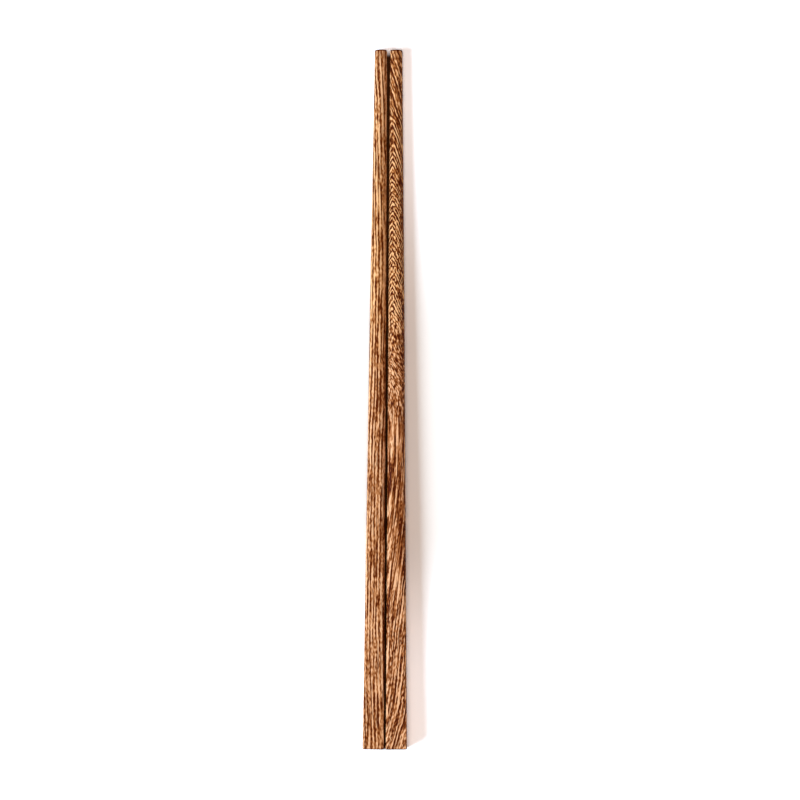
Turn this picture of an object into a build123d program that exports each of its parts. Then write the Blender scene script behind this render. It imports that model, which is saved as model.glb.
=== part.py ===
from build123d import *

import os
from math import atan2, cos, degrees, radians, sqrt

# A pair of wooden chopsticks lying side by side on a table, in millimetres.
# Each stick is one piece of wood. Its handle end is square with rounded edges. Four flats run
# from there towards the tip and narrow to a point at the waist, and from the waist on the stick
# is turned round, with a slightly steeper taper down to the tip.
# +Y runs from the handles to the tips and +Z is up. The origin is on the table, at the centre of
# the pair's footprint.

# Sizes of one stick
STICK_LENGTH = 250.0
HANDLE_WIDTH = 7.6  # across the flats, at the handle end
HANDLE_EDGE_RADIUS = 0.6  # rounding of the four long edges, at the handle end
HANDLE_END_ROUNDING = 0.35  # eased rim of the handle's end face
WAIST_DISTANCE = 160.0  # from the handle end to the point where the flats run out
WAIST_DIAMETER = 5.8
TIP_DIAMETER = 4.4
TIP_ROUNDING = 0.6  # rounded rim of the tip's end face

# Layout of the pair
PAIR_CLEARANCE = 0.7  # between the facing flats of the two sticks
LEFT, RIGHT = -1, 1

# Values that follow from the sizes above
HANDLE_HALF = HANDLE_WIDTH / 2
WAIST_RADIUS = WAIST_DIAMETER / 2
TIP_RADIUS = TIP_DIAMETER / 2
FLAT_TILT = degrees(atan2(HANDLE_HALF - WAIST_RADIUS, WAIST_DISTANCE))  # each flat to the stick's axis
FLAT_DISTANCE = HANDLE_HALF * cos(radians(FLAT_TILT))  # each flat's plane to the handle end's centre
QUARTER_TURNS = [Rot(0, 90 * turn, 0) for turn in range(4)]


def corner_arc(half_width, radius, distance):
    """Quarter arc that rounds the +X +Z corner of a section, at a distance from the handle end."""
    centre = half_width - radius
    middle = centre + radius / sqrt(2)
    return Edge.make_three_point_arc(
        (half_width, distance, centre), (middle, distance, middle), (centre, distance, half_width)
    )


def square_part():
    """Handle end to waist: four flat triangles and four ruled corners between two end faces."""
    handle_arc = corner_arc(HANDLE_HALF, HANDLE_EDGE_RADIUS, 0)
    waist_arc = corner_arc(WAIST_RADIUS, WAIST_RADIUS, WAIST_DISTANCE)
    corner = Face.make_surface_from_curves(handle_arc, waist_arc)
    flat_reach = HANDLE_HALF - HANDLE_EDGE_RADIUS
    flat = Face(
        Wire.make_polygon(
            [
                (-flat_reach, 0, HANDLE_HALF),
                (flat_reach, 0, HANDLE_HALF),
                (0, WAIST_DISTANCE, WAIST_RADIUS),
            ]
        )
    )
    sides = [turn * face for turn in QUARTER_TURNS for face in (corner, flat)]
    handle_face = Plane.XZ * RectangleRounded(HANDLE_WIDTH, HANDLE_WIDTH, HANDLE_EDGE_RADIUS)
    waist_face = Face(Wire([turn * waist_arc for turn in QUARTER_TURNS]))
    return Solid(Shell([*sides, handle_face.face(), waist_face]))


def round_part():
    """Waist to tip: a plain cone."""
    waist_plane = Plane((0, WAIST_DISTANCE, 0), x_dir=(1, 0, 0), z_dir=(0, 1, 0))
    return waist_plane * Cone(
        WAIST_RADIUS,
        TIP_RADIUS,
        STICK_LENGTH - WAIST_DISTANCE,
        align=(Align.CENTER, Align.CENTER, Align.MIN),
    )


def chopstick():
    """One stick along +Y, with its axis through the origin and its handle end at the origin."""
    stick = square_part() + round_part()
    stick = fillet(stick.faces().sort_by(Axis.Y)[-1].edges(), TIP_ROUNDING)
    return fillet(stick.faces().sort_by(Axis.Y)[0].edges(), HANDLE_END_ROUNDING)


def laid_down(stick, side):
    """The stick lying on one flat, with the flat beside it upright and facing the pair's middle."""
    offset = side * (FLAT_DISTANCE + PAIR_CLEARANCE / 2)
    return Pos(offset, 0, FLAT_DISTANCE) * Rot(0, 0, side * FLAT_TILT) * Rot(-FLAT_TILT, 0, 0) * stick


def main():
    """Writes one file for each stick, with the pair centred on the origin."""
    stick = chopstick()
    pair = {"left_chopstick": laid_down(stick, LEFT), "right_chopstick": laid_down(stick, RIGHT)}
    footprint = Compound(list(pair.values())).bounding_box()
    centring = Pos(0, -footprint.center().Y, 0)
    os.makedirs("parts", exist_ok=True)
    for name, solid in pair.items():
        export_step(centring * solid, f"parts/{name}.step")


main()
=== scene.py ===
"""Dresses a pair of wooden chopsticks that lie side by side on a white table, seen from above."""

import logging
import math
from dataclasses import dataclass
from enum import Enum
from typing import Any

import bmesh
import bpy
from mathutils import Matrix, Vector, noise


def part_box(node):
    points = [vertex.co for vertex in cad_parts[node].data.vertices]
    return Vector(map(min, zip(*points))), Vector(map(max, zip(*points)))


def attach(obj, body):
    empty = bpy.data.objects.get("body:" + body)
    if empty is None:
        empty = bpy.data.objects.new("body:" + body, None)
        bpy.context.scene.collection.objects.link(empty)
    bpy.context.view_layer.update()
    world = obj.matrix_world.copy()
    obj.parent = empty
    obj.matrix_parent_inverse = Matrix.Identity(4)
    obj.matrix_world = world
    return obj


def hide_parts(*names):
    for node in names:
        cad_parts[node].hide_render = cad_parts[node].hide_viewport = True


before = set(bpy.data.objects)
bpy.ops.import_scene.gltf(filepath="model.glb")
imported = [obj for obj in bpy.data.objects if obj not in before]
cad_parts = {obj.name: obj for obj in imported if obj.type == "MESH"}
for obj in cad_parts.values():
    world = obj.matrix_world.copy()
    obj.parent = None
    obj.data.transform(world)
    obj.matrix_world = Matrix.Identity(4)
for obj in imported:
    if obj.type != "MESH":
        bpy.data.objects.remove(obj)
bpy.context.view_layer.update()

MM = 0.001
BODY = "root"
BAKE_MAP = "OFBake"

LOG = logging.getLogger("chopsticks")

Socket = bpy.types.NodeSocket
Colour = tuple[float, float, float]
Scale = tuple[float, float, float]
Spot = tuple[float, float]
Range = tuple[float, float]
Curve = tuple[tuple[float, float], ...]


class Side(Enum):
    """Which of the two sticks, as the sign of its X."""

    LEFT = -1
    RIGHT = 1


@dataclass(frozen=True)
class Pattern:
    """A cloudy pattern in the wood.

    The pace is how often it turns on each axis, in a millimetre or a layer. The detail and the roughness say
    how fine and how strong its smaller clouds are.
    """

    pace: Scale
    detail: float = 1.0
    roughness: float = 0.5


class Graph:
    """Adds nodes to one shader tree and links them."""

    def __init__(self, tree: bpy.types.NodeTree) -> None:
        """Takes over a material's or world's tree and empties it."""
        self.tree = tree
        tree.nodes.clear()

    def feed(self, socket: Socket, value: Any) -> None:
        """Links a socket to another, or sets its value.

        Args:
            socket: The input to feed.
            value: An output socket, a number, or a colour or vector.
        """
        if isinstance(value, Socket):
            self.tree.links.new(value, socket)
        elif socket.type == "RGBA":
            socket.default_value = (*value, 1.0)
        else:
            socket.default_value = value

    def node(
        self, kind: str, inputs: dict[str | int, Any] | None = None, **settings: Any
    ) -> bpy.types.Node:
        """Adds one node.

        Args:
            kind: The node's type, without its ShaderNode prefix.
            inputs: Values or sockets for its inputs, by name or number.
            **settings: Properties of the node.

        Returns:
            The new node.
        """
        made = self.tree.nodes.new("ShaderNode" + kind)
        for name, value in settings.items():
            setattr(made, name, value)
        for key, value in (inputs or {}).items():
            self.feed(made.inputs[key], value)
        return made

    def math(self, operation: str, first: Any, second: Any = 0.0) -> Socket:
        """One sum on two numbers, by Blender's name of the sum."""
        return self.node("Math", {0: first, 1: second}, operation=operation).outputs[0]

    def blend(self, value: Any, factor: Any, addend: Any) -> Socket:
        """Value times factor plus addend."""
        return self.node("Math", {0: value, 1: factor, 2: addend}, operation="MULTIPLY_ADD").outputs[0]

    def centred(self, value: Any) -> Socket:
        """A number from 0 to 1, moved so that it runs from -0.5 to 0.5."""
        return self.math("SUBTRACT", value, 0.5)

    def vector(self, operation: str, first: Any, second: Any) -> Socket:
        """One sum on two vectors, by Blender's name of the sum."""
        return self.node("VectorMath", {0: first, 1: second}, operation=operation).outputs[0]

    def scaled(self, vector: Any, factor: Any) -> Socket:
        """A vector times a number."""
        return self.node("VectorMath", {0: vector, 3: factor}, operation="SCALE").outputs[0]

    def dot(self, first: Any, second: Any) -> Socket:
        """How far one vector reaches along another."""
        return self.node("VectorMath", {0: first, 1: second}, operation="DOT_PRODUCT").outputs["Value"]

    def parts(self, vector: Any) -> bpy.types.NodeOutputs:
        """A vector's X, Y and Z."""
        return self.node("SeparateXYZ", {0: vector}).outputs

    def joined(self, x: Any, y: Any, z: Any) -> Socket:
        """A vector from its X, Y and Z."""
        return self.node("CombineXYZ", {0: x, 1: y, 2: z}).outputs[0]

    def cloud(self, vector: Any, pattern: Pattern) -> bpy.types.NodeOutputs:
        """Cloudy noise that runs as a pattern says.

        Args:
            vector: Where to read it.
            pattern: Its pace and fineness.

        Returns:
            A number from 0 to 1, and a colour of three such numbers.
        """
        inputs = {
            "Vector": self.vector("MULTIPLY", vector, pattern.pace),
            "Scale": 1.0,
            "Detail": pattern.detail,
            "Roughness": pattern.roughness,
        }
        return self.node("TexNoise", inputs, noise_dimensions="3D").outputs

    def remap(self, value: Any, edges: Range, results: Range = (0.0, 1.0)) -> Socket:
        """Eases a value from one range to another.

        Args:
            value: The value to change.
            edges: Where its range starts and ends.
            results: What the two edges become.

        Returns:
            The eased value's socket.
        """
        inputs = {
            "Value": value,
            "From Min": edges[0],
            "From Max": edges[1],
            "To Min": results[0],
            "To Max": results[1],
        }
        return self.node("MapRange", inputs, interpolation_type="SMOOTHSTEP").outputs[0]

    def mix(self, factor: Any, first: Any, second: Any) -> Socket:
        """Mixes two colours, the first alone at a factor of 0 and the second alone at 1."""
        return self.node("Mix", {0: factor, 6: first, 7: second}, data_type="RGBA").outputs[2]

    def ramp(self, value: Any, stops: list[tuple[float, Colour]]) -> Socket:
        """Turns a value into a colour.

        Args:
            value: A value from 0 to 1.
            stops: Places on that range, each with its colour.

        Returns:
            The colour's socket.
        """
        made = self.node("ValToRGB", {0: value})
        elements = made.color_ramp.elements
        while len(elements) < len(stops):
            elements.new(1.0)
        for element, (place, colour) in zip(elements, stops):
            element.position = place
            element.color = (*colour, 1.0)
        return made.outputs[0]

    def curve(self, value: Any, points: Curve) -> Socket:
        """A smooth curve through a few points, in the points' own units.

        Args:
            value: Where to read the curve.
            points: Places along the curve and its value there, in order.

        Returns:
            The curve's value.
        """
        start, end = points[0][0], points[-1][0]
        lowest = min(height for _, height in points)
        span = max(height for _, height in points) - lowest or 1.0
        share = self.blend(value, 1 / (end - start), -start / (end - start))
        made = self.node("FloatCurve", {"Value": share})
        line = made.mapping.curves[0].points
        while len(line) < len(points):
            line.new(0.5, 0.5)
        for place, (along, height) in zip(line, points):
            place.location = ((along - start) / (end - start), (height - lowest) / span)
            place.handle_type = "AUTO_CLAMPED"
        made.mapping.update()
        return self.blend(made.outputs[0], span, lowest)


# Both ends of a stick, in millimetres along Y from its middle.
HANDLE = -125.0
TIP = 125.0


def steady(value: float) -> Curve:
    """A curve that keeps one value from the handle to the tip."""
    return (HANDLE, value), (TIP, value)


# Patterns read along the stick itself, which bend its fibres and its ridge of arches.
SWAY = Pattern((0.1, 0.04, 0.1))
RIPPLE = Pattern((0.35, 0.2, 0.35))
RIDGE = Pattern((0.0, 0.07, 0.0), detail=0.0)
ACROSS_GRAIN: Scale = (1.0, 0.0, 1.0)
MIDDLE_OF_CLOUD: Colour = (0.5, 0.5, 0.5)
RIDGE_REACH = 1.6
RIDGE_ROUNDING = 0.5

# Patterns read along the layers.
LINES = Pattern((1.8, 0.05, 0.45))
VEINS = Pattern((1.5, 0.04, 0.4))
JOG = Pattern((0.35, 0.02, 0.3))
SWELL = Pattern((0.45, 0.03, 0.3))
JOG_REACH = 1.1
VEIN_BEADING = 0.12

# Patterns read along the fibres.
FLECKS = Pattern((2.0, 0.14, 2.0))
DASHES = Pattern((1.9, 0.36, 1.9), detail=0.0)
BEADS = Pattern((2.6, 0.8, 2.6), detail=0.0)
PORES = Pattern((2.6, 0.1, 2.6), roughness=0.4)

# Where each pattern fades in, and what it then adds to the tone.
LINE_EDGES: Range = (0.36, 0.64)
VEIN_EDGES: Range = (0.0, 0.06)
SWELL_EDGES: Range = (0.35, 0.65)
PORE_EDGES: Range = (0.59, 0.68)
AROUND_ZERO: Range = (-0.5, 0.5)
FADING_BANDS: Range = (0.4, 1.0)
DARKER: Range = (0.0, -1.0)
FROM_DARKER: Range = (-1.0, 0.0)

# Where a side starts to differ, by millimetres from the middle or by the way its surface faces: painted
# shade on the +X side, a dark streak, a painted highlight facing the key light, and darker end grain with
# painted shade on the end rims.
PAINTED_SIDE_SHADE_EDGES: Range = (-0.5, 2.8)
STREAK_EDGES: Range = (0.2, 1.6)
PAINTED_HIGHLIGHT_FACING: Range = (-0.7, -0.97)
END_GRAIN_AND_SHADE_FACING: Range = (0.03, 0.3)
END_GRAIN_AND_SHADE_DARKNESS = 0.85


@dataclass(frozen=True)
class Palette:
    """The colours of one stick's wood, from its darkest fibres to its palest flecks, and its pores."""

    dark: Colour
    brown: Colour
    nut: Colour
    amber: Colour
    tan: Colour
    pale: Colour
    pore: Colour

    def stops(self) -> list[tuple[float, Colour]]:
        """Each colour with the tone at which it stands.

        Returns:
            Tones and colours, from dark to pale.
        """
        return [
            (0.2, self.dark),
            (0.34, self.brown),
            (0.43, self.nut),
            (0.53, self.amber),
            (0.66, self.tan),
            (0.82, self.pale),
        ]


@dataclass(frozen=True)
class OilCoat:
    """The satin coat of oil, and how far the grain stands out under it."""

    roughness: float = 0.38
    fleck_roughness: float = 0.2
    pore_roughness: float = 0.25
    fleck_height: float = 0.4
    relief: float = 0.5
    relief_depth: float = 0.05 * MM
    shine: float = 0.06


@dataclass(frozen=True)
class GrainFigure:
    """How the layers of light and dark tissue run through one stick, in millimetres and degrees.

    The axis is the middle of the stick, across and up, and the cut is how far along the log it was sawn.
    The curves run along the stick's length. The lean bends the fibres sideways and the dive bends them
    down into the wood, while the sway and the ripple let them wander. The climb counts the layers that
    the length passes through, the arching lays the layers flat, the fanning spreads them over the width,
    and the peak lets them fall away on both sides of a ridge. Together these bend the lines into arches
    on the round surface. The tone is how pale the wood is, and the weights say how much of each pattern
    shows.
    """

    axis: Spot
    layer_turn: float
    layer_spacing: float
    lean: Curve
    sway: Curve
    ripple: Curve
    tone: Curve
    rosiness: Curve
    # Painted shade: how much darker the +X side grows, away from the key light; where negative it paints
    # light on that side instead.
    painted_side_shade: Curve
    streak: Curve
    streak_place: float
    band_weight: Curve
    line_weight: Curve
    vein_weight: Curve
    fleck_weight: Curve
    dash_weight: Curve
    bead_weight: Curve
    pore_weight: float = 0.7
    # Painted highlight: how much paler the surface grows where it faces -X, towards the key light.
    painted_key_highlight: float = 0.0
    cut: float = 0.0
    dive: Curve = steady(0.0)
    climb: Curve = steady(0.0)
    arching: Curve = steady(0.0)
    fanning: Curve = steady(0.0)
    peak: Curve = steady(0.0)
    ridge_place: float = 0.0


@dataclass(frozen=True)
class Grain:
    """One wood's patterns, as sockets of its shader tree."""

    place: Socket
    facing: bpy.types.NodeOutputs
    bands: Socket
    lines: Socket
    veins: Socket
    flecks: Socket
    dashes: Socket
    beads: Socket
    pores: Socket


@dataclass(frozen=True)
class WoodFinish:
    """An oiled hardwood with a layered figure, dark pores and fine fibres."""

    slot: str
    palette: Palette
    figure: GrainFigure
    oil: OilCoat = OilCoat()

    def place(self, graph: Graph) -> Socket:
        """Coordinates in millimetres from the middle of the stick.

        Args:
            graph: The material's nodes.

        Returns:
            The coordinates' socket.
        """
        across, up = self.figure.axis
        place = graph.scaled(graph.node("TexCoord").outputs["Object"], 1 / MM)
        return graph.vector("SUBTRACT", place, (across, 0.0, up))

    def fibre_space(self, graph: Graph, place: Socket) -> Socket:
        """Coordinates in which the fibres run straight along Y.

        Args:
            graph: The material's nodes.
            place: Coordinates from the middle of the stick.

        Returns:
            The bent coordinates.
        """
        figure = self.figure
        along = graph.parts(place)["Y"]
        bend = graph.joined(graph.curve(along, figure.lean), figure.cut, graph.curve(along, figure.dive))
        for pattern, reach in ((SWAY, figure.sway), (RIPPLE, figure.ripple)):
            wander = graph.vector("SUBTRACT", graph.cloud(place, pattern)["Color"], MIDDLE_OF_CLOUD)
            shift = graph.scaled(wander, graph.curve(along, reach))
            bend = graph.vector("ADD", bend, graph.vector("MULTIPLY", shift, ACROSS_GRAIN))
        return graph.vector("ADD", place, bend)

    def ridge_distance(self, graph: Graph, place: Socket) -> Socket:
        """Distance from the wandering ridge of the arches, rounded at the ridge itself.

        Args:
            graph: The material's nodes.
            place: Coordinates from the middle of the stick.

        Returns:
            The distance's socket.
        """
        wander = graph.centred(graph.cloud(place, RIDGE)[0])
        ridge = graph.blend(wander, RIDGE_REACH, self.figure.ridge_place)
        right = graph.math("SUBTRACT", graph.parts(place)["X"], ridge)
        left = graph.math("MULTIPLY", right, -1.0)
        return graph.node("Math", {0: right, 1: left, 2: RIDGE_ROUNDING}, operation="SMOOTH_MAX").outputs[0]

    def layer_space(self, graph: Graph, place: Socket, fibres: Socket) -> Socket:
        """Coordinates that count the layers along X and run within a layer along Y and Z.

        Args:
            graph: The material's nodes.
            place: Coordinates from the middle of the stick.
            fibres: The bent coordinates.

        Returns:
            The layers' coordinates, with Y and Z in millimetres.
        """
        figure = self.figure
        turn = math.radians(figure.layer_turn)
        through = (math.cos(turn) / figure.layer_spacing, 0.0, math.sin(turn) / figure.layer_spacing)
        within = (-math.sin(turn), 0.0, math.cos(turn))
        parts = graph.parts(place)
        along = parts["Y"]
        count = graph.math("ADD", graph.dot(fibres, through), graph.curve(along, figure.climb))
        count = graph.blend(parts["Z"], graph.curve(along, figure.arching), count)
        count = graph.blend(parts["X"], graph.curve(along, figure.fanning), count)
        fall = graph.math("MULTIPLY", self.ridge_distance(graph, place), graph.curve(along, figure.peak))
        count = graph.math("SUBTRACT", count, fall)
        return graph.joined(count, graph.parts(fibres)["Y"], graph.dot(fibres, within))

    def bands(self, graph: Graph, layers: Socket) -> Socket:
        """Light and dark bands, one pair to a layer, that jog sideways and fade in and out.

        Args:
            graph: The material's nodes.
            layers: The layers' coordinates.

        Returns:
            The bands, from -1 where dark to 1 where pale.
        """
        jog = graph.centred(graph.cloud(layers, JOG)[0])
        turns = graph.blend(jog, JOG_REACH, graph.parts(layers)["X"])
        waves = graph.math("SINE", graph.math("MULTIPLY", turns, math.tau))
        swell = graph.remap(graph.cloud(layers, SWELL)[0], SWELL_EDGES, FADING_BANDS)
        return graph.math("MULTIPLY", waves, swell)

    def veins(self, graph: Graph, layers: Socket, beads: Socket) -> Socket:
        """Thin dark veins along the layers, broken up by the beads.

        Args:
            graph: The material's nodes.
            layers: The layers' coordinates.
            beads: The beads' pattern.

        Returns:
            The veins, from -0.5 where dark to 0.5 between them.
        """
        course = graph.math("ABSOLUTE", graph.centred(graph.cloud(layers, VEINS)[0]))
        course = graph.blend(graph.centred(beads), VEIN_BEADING, course)
        return graph.remap(course, VEIN_EDGES, AROUND_ZERO)

    def grain(self, graph: Graph) -> Grain:
        """Lays all of the wood's patterns.

        Args:
            graph: The material's nodes.

        Returns:
            The patterns.
        """
        place = self.place(graph)
        fibres = self.fibre_space(graph, place)
        layers = self.layer_space(graph, place, fibres)
        beads = graph.cloud(fibres, BEADS)[0]
        return Grain(
            place=place,
            facing=graph.parts(graph.node("TexCoord").outputs["Normal"]),
            bands=self.bands(graph, layers),
            lines=graph.cloud(layers, LINES)[0],
            veins=self.veins(graph, layers, beads),
            flecks=graph.cloud(fibres, FLECKS)[0],
            dashes=graph.cloud(fibres, DASHES)[0],
            beads=beads,
            pores=graph.remap(graph.cloud(fibres, PORES)[0], PORE_EDGES),
        )

    def tone(self, graph: Graph, grain: Grain) -> Socket:
        """How pale the wood is, with every pattern at its weight, a painted highlight where the surface
        faces the key light and painted shade on the side away from it.

        Args:
            graph: The material's nodes.
            grain: The wood's patterns.

        Returns:
            The tone, mostly from 0 to 1.
        """
        figure = self.figure
        parts = graph.parts(grain.place)
        off_streak = graph.math("ABSOLUTE", graph.math("SUBTRACT", parts["X"], figure.streak_place))
        tone = graph.curve(parts["Y"], figure.tone)
        # Painted highlight: the surface that faces -X, towards the key light, is made paler.
        tone = graph.blend(graph.remap(grain.facing["X"], PAINTED_HIGHLIGHT_FACING), figure.painted_key_highlight, tone)
        for pattern, weight in (
            # Painted shade on the +X side, away from the key light, and painted light there where the weight
            # is negative.
            (graph.remap(parts["X"], PAINTED_SIDE_SHADE_EDGES, DARKER), figure.painted_side_shade),
            (graph.remap(off_streak, STREAK_EDGES, FROM_DARKER), figure.streak),
            (grain.veins, figure.vein_weight),
            (graph.remap(grain.lines, LINE_EDGES, AROUND_ZERO), figure.line_weight),
            (graph.centred(grain.flecks), figure.fleck_weight),
            (graph.centred(grain.dashes), figure.dash_weight),
            (graph.centred(grain.beads), figure.bead_weight),
            (grain.bands, figure.band_weight),
        ):
            tone = graph.blend(pattern, graph.curve(parts["Y"], weight), tone)
        return tone

    def colour(self, graph: Graph, grain: Grain) -> Socket:
        """The wood's colour, with its pores, and with darker end grain that also paints shade on the rounded
        end rims.

        Args:
            graph: The material's nodes.
            grain: The wood's patterns.

        Returns:
            The colour's socket.
        """
        figure, palette = self.figure, self.palette
        colour = graph.ramp(self.tone(graph, grain), palette.stops())
        colour = graph.mix(graph.math("MULTIPLY", grain.pores, figure.pore_weight), colour, palette.pore)
        tints = graph.node("SeparateColor", {0: colour}).outputs
        rosiness = graph.curve(graph.parts(grain.place)["Y"], figure.rosiness)
        blue = graph.math("MULTIPLY", tints[2], rosiness)
        colour = graph.node("CombineColor", {0: tints[0], 1: tints[1], 2: blue}).outputs[0]
        # Darker end grain, which also stands in for painted shade on the rounded rims at both ends.
        end_grain_and_shade = graph.remap(graph.math("ABSOLUTE", grain.facing["Y"]), END_GRAIN_AND_SHADE_FACING)
        return graph.mix(graph.math("MULTIPLY", end_grain_and_shade, END_GRAIN_AND_SHADE_DARKNESS), colour, palette.dark)

    def material(self) -> bpy.types.Material:
        """Builds the wood's nodes under its coat of oil.

        Returns:
            The new material.
        """
        made = bpy.data.materials.new(self.slot)
        made.use_nodes = True
        graph = Graph(made.node_tree)
        grain = self.grain(graph)
        oil = self.oil
        roughness = graph.blend(grain.flecks, oil.fleck_roughness, oil.roughness)
        height = graph.blend(grain.flecks, oil.fleck_height, grain.lines)
        height = graph.math("SUBTRACT", height, grain.pores)
        bump = graph.node("Bump", {"Strength": oil.relief, "Distance": oil.relief_depth, "Height": height})
        shader = graph.node(
            "BsdfPrincipled",
            {
                "Base Color": self.colour(graph, grain),
                "Roughness": graph.blend(grain.pores, oil.pore_roughness, roughness),
                "Normal": bump.outputs[0],
                "Specular IOR Level": oil.shine,
            },
        )
        graph.node("OutputMaterial", {"Surface": shader.outputs[0]})
        return made


@dataclass(frozen=True)
class StickForm:
    """One stick's form: square with rounded edges at the handle, round from the waist to the tip.

    The corner density is how much closer the facets lie on the corners than on the flats. The sanding paces
    are how often the unevenness of the surface turns in a metre.
    """

    length: float = 250.0 * MM
    handle_width: float = 7.6 * MM
    handle_edge_radius: float = 0.6 * MM
    handle_end_rounding: float = 0.35 * MM
    waist_distance: float = 160.0 * MM
    waist_diameter: float = 5.8 * MM
    tip_diameter: float = 4.4 * MM
    tip_rounding: float = 0.6 * MM
    pair_clearance: float = 0.7 * MM
    corner_density: float = 1.6
    sanding_depth: float = 0.03 * MM
    sanding_pace_along: float = 60.0
    sanding_pace_across: float = 300.0

    @property
    def flat_tilt(self) -> float:
        """Angle of each flat to the stick's axis, in radians."""
        return math.atan2((self.handle_width - self.waist_diameter) / 2, self.waist_distance)

    @property
    def flat_distance(self) -> float:
        """Distance of each flat's plane from the handle end's centre."""
        return self.handle_width / 2 * math.cos(self.flat_tilt)

    def section(self, station: float) -> tuple[float, float]:
        """The section at a distance from the handle end.

        Args:
            station: Distance along the axis.

        Returns:
            Half the width across the flats, and the radius of the corners.
        """
        waist = self.waist_diameter / 2
        if station <= self.waist_distance:
            share = station / self.waist_distance
            half = self.handle_width / 2 * (1 - share) + waist * share
            return half, self.handle_edge_radius * (1 - share) + waist * share
        share = (station - self.waist_distance) / (self.length - self.waist_distance)
        radius = waist * (1 - share) + self.tip_diameter / 2 * share
        return radius, radius

    def outline_point(self, station: float, turn: float) -> Vector:
        """A point on the outline of a section, which has four equal quarters of flat, corner and flat.

        Args:
            station: Distance along the axis, from the handle end.
            turn: Share of a full turn round the section.

        Returns:
            The point, with the axis along +Y through the origin.
        """
        half, radius = self.section(station)
        quarter, share = divmod(turn * 4, 1)
        flat = half - radius
        arc = math.pi / 2 * self.corner_density
        travelled = share * (2 * flat + arc * radius)
        if travelled < flat:
            across, up = half, travelled
        elif travelled <= flat + arc * radius:
            angle = (travelled - flat) / (radius * self.corner_density)
            across, up = flat + radius * math.cos(angle), flat + radius * math.sin(angle)
        else:
            across, up = 2 * flat + arc * radius - travelled, half
        return Matrix.Rotation(math.pi / 2 * quarter, 3, "Y") @ Vector((across, station, -up))

    def surface_point(self, station: float, turn: float) -> Vector:
        """A point on the stick's surface, with a little of the unevenness of sanding by hand.

        Args:
            station: Distance along the axis, from the handle end.
            turn: Share of a full turn round the section.

        Returns:
            The point, with the axis along +Y through the origin.
        """
        point = self.outline_point(station, turn)
        across, along = self.sanding_pace_across, self.sanding_pace_along
        hollow = 0.5 + 0.5 * noise.noise(Vector((point.x * across, station * along, point.z * across)))
        keep = 1 - self.sanding_depth * hollow / self.section(station)[0]
        return Vector((point.x * keep, station, point.z * keep))


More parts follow.
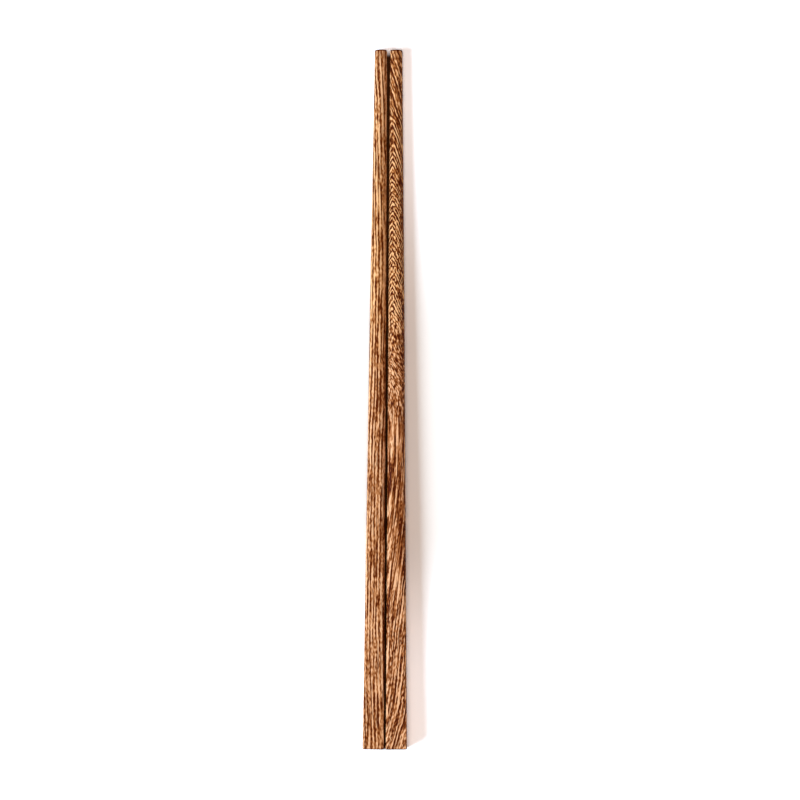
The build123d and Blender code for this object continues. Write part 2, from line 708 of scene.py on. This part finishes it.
@dataclass
class Chopstick:
    """One stick of the pair, as a fine closed mesh that stands for its solid.

    Its bake map has the long sides in strips side by side, and the end faces in a column beside them.
    """

    node: str
    side: Side
    form: StickForm
    finish: WoodFinish
    facets: int = 128
    rings: int = 300
    rim_segments: int = 5
    map_strips: int = 3
    map_column: float = 0.1
    map_margin: float = 0.005

    def blank(self) -> bmesh.types.BMesh:
        """A closed tube with the stick's rings and facets, shaped to its sections.

        Returns:
            The new mesh, with the axis along +Y and the handle end at the origin.
        """
        mesh = bmesh.new()
        bmesh.ops.create_cone(
            mesh, cap_ends=True, cap_tris=False, segments=self.facets, radius1=1.0, radius2=1.0, depth=1.0
        )
        lengthwise = [edge for edge in mesh.edges if abs(edge.verts[0].co.z - edge.verts[1].co.z) > 0.5]
        bmesh.ops.subdivide_edges(mesh, edges=lengthwise, cuts=self.rings - 1)
        for vertex in mesh.verts:
            station = (vertex.co.z + 0.5) * self.form.length
            turn = math.atan2(vertex.co.y, vertex.co.x) / math.tau % 1.0
            vertex.co = self.form.surface_point(station, turn)
        mesh.normal_update()
        return mesh

    def end_faces(self, mesh: bmesh.types.BMesh) -> tuple[bmesh.types.BMFace, bmesh.types.BMFace]:
        """The handle's end face and the tip's end face."""
        ordered = sorted(mesh.faces, key=lambda face: face.calc_center_median().y)
        return ordered[0], ordered[-1]

    def round_ends(self, mesh: bmesh.types.BMesh) -> None:
        """Rounds the rims of both ends.

        Args:
            mesh: The shaped blank.
        """
        for index, rounding in enumerate((self.form.handle_end_rounding, self.form.tip_rounding)):
            rim = list(self.end_faces(mesh)[index].edges)
            bmesh.ops.bevel(
                mesh,
                geom=rim,
                offset=rounding,
                offset_type="OFFSET",
                affect="EDGES",
                segments=self.rim_segments,
                profile=0.5,
                material=-1,
                clamp_overlap=True,
            )
        bmesh.ops.recalc_face_normals(mesh, faces=mesh.faces)

    def map_end(self, face: bmesh.types.BMFace, row: int, layer: bmesh.types.BMLayerItem) -> None:
        """Lays an end face out in the map's column.

        Args:
            face: The end face.
            row: Its place in the column.
            layer: The map.
        """
        for loop in face.loops:
            across = loop.vert.co.x / self.form.handle_width + 0.5
            up = loop.vert.co.z / self.form.handle_width + 0.5
            column_width = self.map_column - self.map_margin
            loop[layer].uv = (1 - self.map_column + across * column_width, (row + up) * self.map_column)

    def map_side(self, face: bmesh.types.BMFace, layer: bmesh.types.BMLayerItem) -> None:
        """Lays a face of the long sides out in its strip of the map.

        Args:
            face: The face.
            layer: The map.
        """
        margin = self.map_margin
        strip_length = self.form.length / self.map_strips
        centre = face.calc_center_median()
        strip = min(int(max(centre.y, 0.0) / strip_length), self.map_strips - 1)
        middle = math.atan2(centre.z, centre.x)
        for loop in face.loops:
            angle = math.atan2(loop.vert.co.z, loop.vert.co.x)
            angle += math.tau * round((middle - angle) / math.tau)
            round_share = angle / math.tau + 0.5
            along_share = loop.vert.co.y / strip_length - strip
            loop[layer].uv = (
                margin + along_share * (1 - self.map_column - 2 * margin),
                (strip + margin + round_share * (1 - 2 * margin)) / self.map_strips,
            )

    def map_for_baking(self, mesh: bmesh.types.BMesh) -> None:
        """Lays every face out in the bake map.

        Args:
            mesh: The finished mesh, with the axis along +Y and the handle end at the origin.
        """
        layer = mesh.loops.layers.uv.new(BAKE_MAP)
        ends = self.end_faces(mesh)
        for face in mesh.faces:
            if face in ends:
                self.map_end(face, ends.index(face), layer)
            else:
                self.map_side(face, layer)

    def lay_down(self, mesh: bmesh.types.BMesh) -> None:
        """Lays the stick on one flat, where its solid lies.

        Args:
            mesh: The finished mesh, with the axis along +Y and the handle end at the origin.
        """
        form, sign = self.form, self.side.value
        beside = form.flat_distance + form.pair_clearance / 2
        place = Matrix.Translation((sign * beside, 0, form.flat_distance))
        tilt = Matrix.Rotation(sign * form.flat_tilt, 4, "Z") @ Matrix.Rotation(-form.flat_tilt, 4, "X")
        bmesh.ops.transform(mesh, matrix=place @ tilt, verts=mesh.verts)
        handle_end = min(vertex.co.y for vertex in mesh.verts)
        bmesh.ops.translate(mesh, vec=(0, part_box(self.node)[0].y - handle_end, 0), verts=mesh.verts)

    def build(self) -> bpy.types.Object:
        """Returns:
            The finished piece.
        """
        mesh = self.blank()
        self.round_ends(mesh)
        self.map_for_baking(mesh)
        for face in mesh.faces:
            face.smooth = True
        for face in self.end_faces(mesh):
            face.smooth = False
        self.lay_down(mesh)
        data = bpy.data.meshes.new(self.node + "_wood")
        mesh.to_mesh(data)
        mesh.free()
        data.materials.append(self.finish.material())
        piece = bpy.data.objects.new(self.node + "_wood", data)
        bpy.context.scene.collection.objects.link(piece)
        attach(piece, BODY)
        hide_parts(self.node)
        return piece


FILL_COLOUR: Colour = (1.15, 0.94, 0.82)


@dataclass(frozen=True)
class Lamp:
    """A soft distant lamp.

    Its angles are in degrees. The share is its part of the light on the table, and a lamp that isn't
    mirrored leaves no shine on the wood.
    """

    name: str
    heading: float
    elevation: float
    spread: float
    share: float
    colour: Colour
    mirrored: bool

    def hang(self) -> bpy.types.Object:
        """Hangs the lamp where it shines from.

        Returns:
            The lamp.
        """
        height = math.radians(self.elevation)
        data = bpy.data.lights.new(self.name, "SUN")
        data.angle = math.radians(self.spread)
        data.color = self.colour
        data.energy = math.pi * self.share / math.sin(height)
        raised = Vector((math.cos(height), 0, math.sin(height)))
        towards = Matrix.Rotation(math.radians(self.heading), 3, "Z") @ raised
        hung = bpy.data.objects.new(self.name, data)
        hung.rotation_mode = "QUATERNION"
        hung.rotation_quaternion = towards.to_track_quat("Z", "Y")
        hung.visible_glossy = self.mirrored
        bpy.context.scene.collection.objects.link(hung)
        return hung


KEY_LAMP = Lamp(
    name="key",
    heading=200.0,
    elevation=36.0,
    spread=25.0,
    share=0.5,
    colour=(0.89, 1.03, 1.12),
    mirrored=True,
)

TOP_LAMP = Lamp(
    name="top",
    heading=0.0,
    elevation=90.0,
    spread=35.0,
    share=0.33,
    colour=FILL_COLOUR,
    mirrored=False,
)


@dataclass(frozen=True)
class TableFinish:
    """A matt white table, with painted light near both ends of the pair that lifts the shadow there, and
    painted shade in the slit between the sticks.
    """

    albedo: float = 0.85
    white: Colour = (1.05, 1.05, 1.05)
    # Painted light: a brighter seen colour near both ends of the pair, which lifts the shadow there.
    ends: Colour = (1.55, 1.66, 1.8)
    painted_light_tip_fade: Range = (20.0 * MM, 110.0 * MM)
    painted_light_handle_fade: Range = (-45.0 * MM, -105.0 * MM)
    # Painted shade: a dark strip on the table in the slit between the two sticks, where shade falls.
    painted_slit_shade: Colour = (0.07, 0.025, 0.008)
    painted_slit_shade_edges: Range = (1.5 * MM, 2.25 * MM)
    slit_shade_tip_fade: Range = (122.5 * MM, 125.0 * MM)
    slit_shade_handle_fade: Range = (-125.0 * MM, -126.0 * MM)

    def shown(self, graph: Graph) -> Socket:
        """The colour that the camera sees, with the painted light near the ends and the painted shade in the
        slit.

        Args:
            graph: The material's nodes.

        Returns:
            The colour's socket.
        """
        place = graph.parts(graph.node("TexCoord").outputs["Object"])
        tips, handles, past_tips, past_handles = (
            graph.remap(place["Y"], fade)
            for fade in (self.painted_light_tip_fade, self.painted_light_handle_fade, self.slit_shade_tip_fade, self.slit_shade_handle_fade)
        )
        # Painted light near both ends, which lifts the shadow there.
        floor_with_painted_light = graph.mix(graph.math("MAXIMUM", tips, handles), self.white, self.ends)
        # Painted shade in the slit between the sticks, which ends past the tips and the handles.
        beside = graph.remap(graph.math("ABSOLUTE", place["X"]), self.painted_slit_shade_edges)
        off_slit_shade = graph.math("MAXIMUM", beside, graph.math("MAXIMUM", past_tips, past_handles))
        return graph.mix(off_slit_shade, self.painted_slit_shade, floor_with_painted_light)

    def material(self) -> bpy.types.Material:
        """Builds the table's nodes.

        Returns:
            The new material.
        """
        made = bpy.data.materials.new("white_table")
        made.use_nodes = True
        graph = Graph(made.node_tree)
        seen = graph.node("LightPath").outputs["Is Camera Ray"]
        albedo = (self.albedo, self.albedo, self.albedo)
        matt = graph.node("BsdfDiffuse", {"Color": graph.mix(seen, albedo, self.shown(graph))})
        graph.node("OutputMaterial", {"Surface": matt.outputs[0]})
        return made


@dataclass
class Studio:
    """A white table, a soft key light from the left, an even fill and a camera straight above.

    The pair's centre and the photograph's side are in its pixels, and the pair's lean is in degrees.
    The fill fades from straight above to the horizon, and its gain makes up for that.
    """

    photo_side: int = 800
    pixels_per_mm: float = 2.7975
    pair_centre: Spot = (386.7, 399.3)
    pair_lean: float = 0.315
    lens: float = 200.0
    sensor: float = 36.0
    object_height: float = 4.0 * MM
    key: Lamp = KEY_LAMP
    top: Lamp = TOP_LAMP
    fill_colour: Colour = FILL_COLOUR
    fill_gain: float = 1.5
    floor_side: float = 6.0
    floor_drop: float = 0.02 * MM
    floor_finish: TableFinish = TableFinish()

    def lay_floor(self) -> bpy.types.Object:
        """The white table top, which keeps the pair's shadow.

        Returns:
            The floor.
        """
        mesh = bmesh.new()
        bmesh.ops.create_grid(mesh, x_segments=1, y_segments=1, size=self.floor_side / 2)
        bmesh.ops.translate(mesh, vec=(0, 0, -self.floor_drop), verts=mesh.verts)
        data = bpy.data.meshes.new("table_top")
        mesh.to_mesh(data)
        mesh.free()
        data.materials.append(self.floor_finish.material())
        floor = bpy.data.objects.new("table_top", data)
        bpy.context.scene.collection.objects.link(floor)
        return floor

    def light(self) -> None:
        """Hangs both lamps and sets the fill from all round, in a room that looks white."""
        self.key.hang()
        self.top.hang()
        world = bpy.data.worlds.new("white_room")
        bpy.context.scene.world = world
        world.use_nodes = True
        graph = Graph(world.node_tree)
        path = graph.node("LightPath").outputs
        seen = graph.math("MAXIMUM", path["Is Camera Ray"], path["Is Glossy Ray"])
        seen = graph.math("MAXIMUM", seen, path["Is Transmission Ray"])
        height = graph.parts(graph.node("TexCoord").outputs["Generated"])["Z"]
        fill_share = 1 - self.key.share - self.top.share
        overhead = graph.math("MULTIPLY", graph.math("MAXIMUM", height, 0.0), self.fill_gain * fill_share)
        fill = graph.node("Background", {"Color": self.fill_colour, "Strength": overhead})
        white = graph.node("Background", {"Color": (1.0, 1.0, 1.0), "Strength": 1.0})
        room = graph.node("MixShader", {0: seen, 1: fill.outputs[0], 2: white.outputs[0]})
        graph.node("OutputWorld", {"Surface": room.outputs[0]})

    def aim_camera(self) -> bpy.types.Object:
        """Sets the camera straight above the pair, framed as the photograph is.

        Returns:
            The camera.
        """
        data = bpy.data.cameras.new("above")
        data.lens = self.lens
        data.sensor_width = self.sensor
        frame_width = self.photo_side / self.pixels_per_mm * MM
        distance = frame_width * self.lens / self.sensor
        middle = self.photo_side / 2
        across = (middle - self.pair_centre[0]) / self.pixels_per_mm * MM
        up = (self.pair_centre[1] - middle) / self.pixels_per_mm * MM
        camera = bpy.data.objects.new("above", data)
        camera.location = (across, up, self.object_height + distance)
        camera.rotation_euler = (0, 0, math.radians(self.pair_lean))
        bpy.context.scene.collection.objects.link(camera)
        bpy.context.scene.camera = camera
        return camera


GOLDEN_WOOD = WoodFinish(
    slot="golden_wood",
    palette=Palette(
        dark=(0.1, 0.014, 0.0),
        brown=(0.24, 0.064, 0.01),
        nut=(0.37, 0.135, 0.04),
        amber=(0.5, 0.206, 0.076),
        tan=(0.66, 0.315, 0.138),
        pale=(0.97, 0.585, 0.335),
        pore=(0.07, 0.008, 0.0),
    ),
    figure=GrainFigure(
        axis=(-3.5, 3.4),
        cut=340.0,
        layer_turn=12.0,
        layer_spacing=1.14,
        lean=((HANDLE, 0.0), (-50.0, 1.0), (30.0, 0.0), (TIP, 2.0)),
        sway=steady(0.9),
        ripple=steady(0.15),
        tone=((HANDLE, 0.45), (-60.0, 0.47), (10.0, 0.45), (60.0, 0.49), (TIP, 0.48)),
        rosiness=((HANDLE, 1.0), (-20.0, 1.0), (50.0, 0.88), (TIP, 0.95)),
        # A little painted shade on the +X side near the middle; towards the tip negative, painting light on
        # the side that the other stick shades.
        painted_side_shade=((HANDLE, 0.0), (-20.0, 0.05), (15.0, 0.0), (50.0, -0.1), (TIP, -0.07)),
        streak=((HANDLE, 0.05), (0.0, 0.04), (60.0, 0.0), (TIP, 0.0)),
        streak_place=-0.7,
        # Painted highlight on the left rim, which faces the key light.
        painted_key_highlight=0.07,
        band_weight=((HANDLE, 0.34), (40.0, 0.38), (80.0, 0.42), (TIP, 0.42)),
        line_weight=((HANDLE, 0.3), (40.0, 0.3), (80.0, 0.36), (TIP, 0.36)),
        vein_weight=((HANDLE, 0.22), (40.0, 0.18), (80.0, 0.18), (TIP, 0.2)),
        fleck_weight=((HANDLE, 1.5), (20.0, 1.6), (60.0, 1.8), (TIP, 1.8)),
        dash_weight=steady(0.15),
        bead_weight=steady(0.8),
    ),
)

RUSSET_WOOD = WoodFinish(
    slot="russet_wood",
    palette=Palette(
        dark=(0.07, 0.008, 0.0),
        brown=(0.17, 0.042, 0.006),
        nut=(0.29, 0.087, 0.022),
        amber=(0.41, 0.148, 0.048),
        tan=(0.58, 0.25, 0.107),
        pale=(0.97, 0.575, 0.345),
        pore=(0.05, 0.005, 0.0),
    ),
    figure=GrainFigure(
        axis=(3.5, 3.4),
        layer_turn=149.0,
        layer_spacing=1.06,
        lean=(
            (HANDLE, 0.0),
            (-108.0, -4.2),
            (-72.0, -8.6),
            (-7.0, -15.1),
            (21.0, -6.7),
            (36.0, -5.2),
            (99.0, 8.7),
            (107.0, 10.7),
            (TIP, 16.5),
        ),
        dive=((HANDLE, 0.0), (-10.0, 0.0), (24.0, -2.4), (60.0, -12.4), (103.0, -21.2), (TIP, -21.2)),
        climb=(
            (HANDLE, 0.0),
            (12.0, 0.0),
            (24.0, -4.4),
            (36.0, -9.5),
            (64.0, -14.7),
            (98.0, -21.1),
            (106.0, -22.8),
            (TIP, -22.8),
        ),
        arching=((HANDLE, 0.0), (10.0, 0.0), (35.0, 0.2), (92.0, 0.2), (107.0, -0.4), (TIP, -0.4)),
        fanning=((HANDLE, 0.0), (10.0, 0.0), (35.0, 0.42), (92.0, 0.42), (107.0, 0.0), (TIP, 0.0)),
        peak=((HANDLE, 0.0), (10.0, 0.0), (35.0, 0.64), (92.0, 0.64), (107.0, 0.0), (TIP, 0.0)),
        ridge_place=-1.8,
        sway=((HANDLE, 1.6), (10.0, 1.6), (40.0, 1.0), (TIP, 0.8)),
        ripple=(
            (HANDLE, 0.6),
            (-75.0, 0.6),
            (-60.0, 0.25),
            (-14.0, 0.25),
            (10.0, 0.5),
            (40.0, 0.3),
            (TIP, 0.2),
        ),
        tone=(
            (HANDLE, 0.52),
            (-60.0, 0.46),
            (-18.0, 0.47),
            (5.0, 0.535),
            (24.0, 0.48),
            (50.0, 0.425),
            (95.0, 0.38),
            (108.0, 0.34),
            (TIP, 0.35),
        ),
        rosiness=((HANDLE, 0.95), (0.0, 0.95), (50.0, 0.8), (TIP, 0.85)),
        # Painted side shade: the +X side, away from the key light, is made darker.
        painted_side_shade=((HANDLE, 0.0), (-60.0, 0.06), (-30.0, 0.15), (40.0, 0.12), (TIP, 0.04)),
        streak=((HANDLE, 0.12), (-20.0, 0.12), (20.0, 0.0), (TIP, 0.0)),
        streak_place=-0.4,
        band_weight=(
            (HANDLE, 0.26),
            (-14.0, 0.2),
            (0.0, 0.0),
            (19.0, 0.0),
            (32.0, 0.58),
            (95.0, 0.56),
            (110.0, 0.32),
            (TIP, 0.32),
        ),
        line_weight=(
            (HANDLE, 0.34),
            (-75.0, 0.36),
            (-60.0, 0.44),
            (-14.0, 0.44),
            (0.0, 0.04),
            (20.0, 0.04),
            (34.0, 0.28),
            (95.0, 0.28),
            (110.0, 0.38),
            (TIP, 0.38),
        ),
        vein_weight=(
            (HANDLE, 0.32),
            (-14.0, 0.32),
            (0.0, 0.06),
            (20.0, 0.06),
            (34.0, 0.2),
            (95.0, 0.2),
            (110.0, 0.42),
            (TIP, 0.42),
        ),
        fleck_weight=(
            (HANDLE, 1.3),
            (-60.0, 1.3),
            (-10.0, 1.2),
            (4.0, 0.4),
            (22.0, 0.6),
            (34.0, 1.5),
            (60.0, 1.3),
            (95.0, 1.1),
            (110.0, 0.7),
            (TIP, 0.6),
        ),
        dash_weight=(
            (HANDLE, 0.15),
            (-14.0, 0.15),
            (2.0, 1.3),
            (24.0, 1.3),
            (36.0, 1.0),
            (60.0, 0.8),
            (95.0, 0.7),
            (110.0, 0.2),
            (TIP, 0.2),
        ),
        bead_weight=(
            (HANDLE, 0.8),
            (-75.0, 0.8),
            (-60.0, 0.3),
            (-14.0, 0.3),
            (2.0, 1.4),
            (20.0, 1.4),
            (35.0, 1.5),
            (60.0, 1.4),
            (85.0, 0.9),
            (TIP, 0.8),
        ),
    ),
)


def main() -> None:
    """Builds the two sticks and the studio, in order."""
    logging.basicConfig(level=logging.INFO)
    bpy.context.scene.view_settings.view_transform = "Standard"
    form = StickForm()
    for stick in (
        Chopstick("left_chopstick", Side.LEFT, form, GOLDEN_WOOD),
        Chopstick("right_chopstick", Side.RIGHT, form, RUSSET_WOOD),
    ):
        piece = stick.build()
        LOG.info("%s: %d faces", piece.name, len(piece.data.polygons))
    studio = Studio()
    studio.lay_floor()
    studio.light()
    studio.aim_camera()


if __name__ == "__main__":
    main()
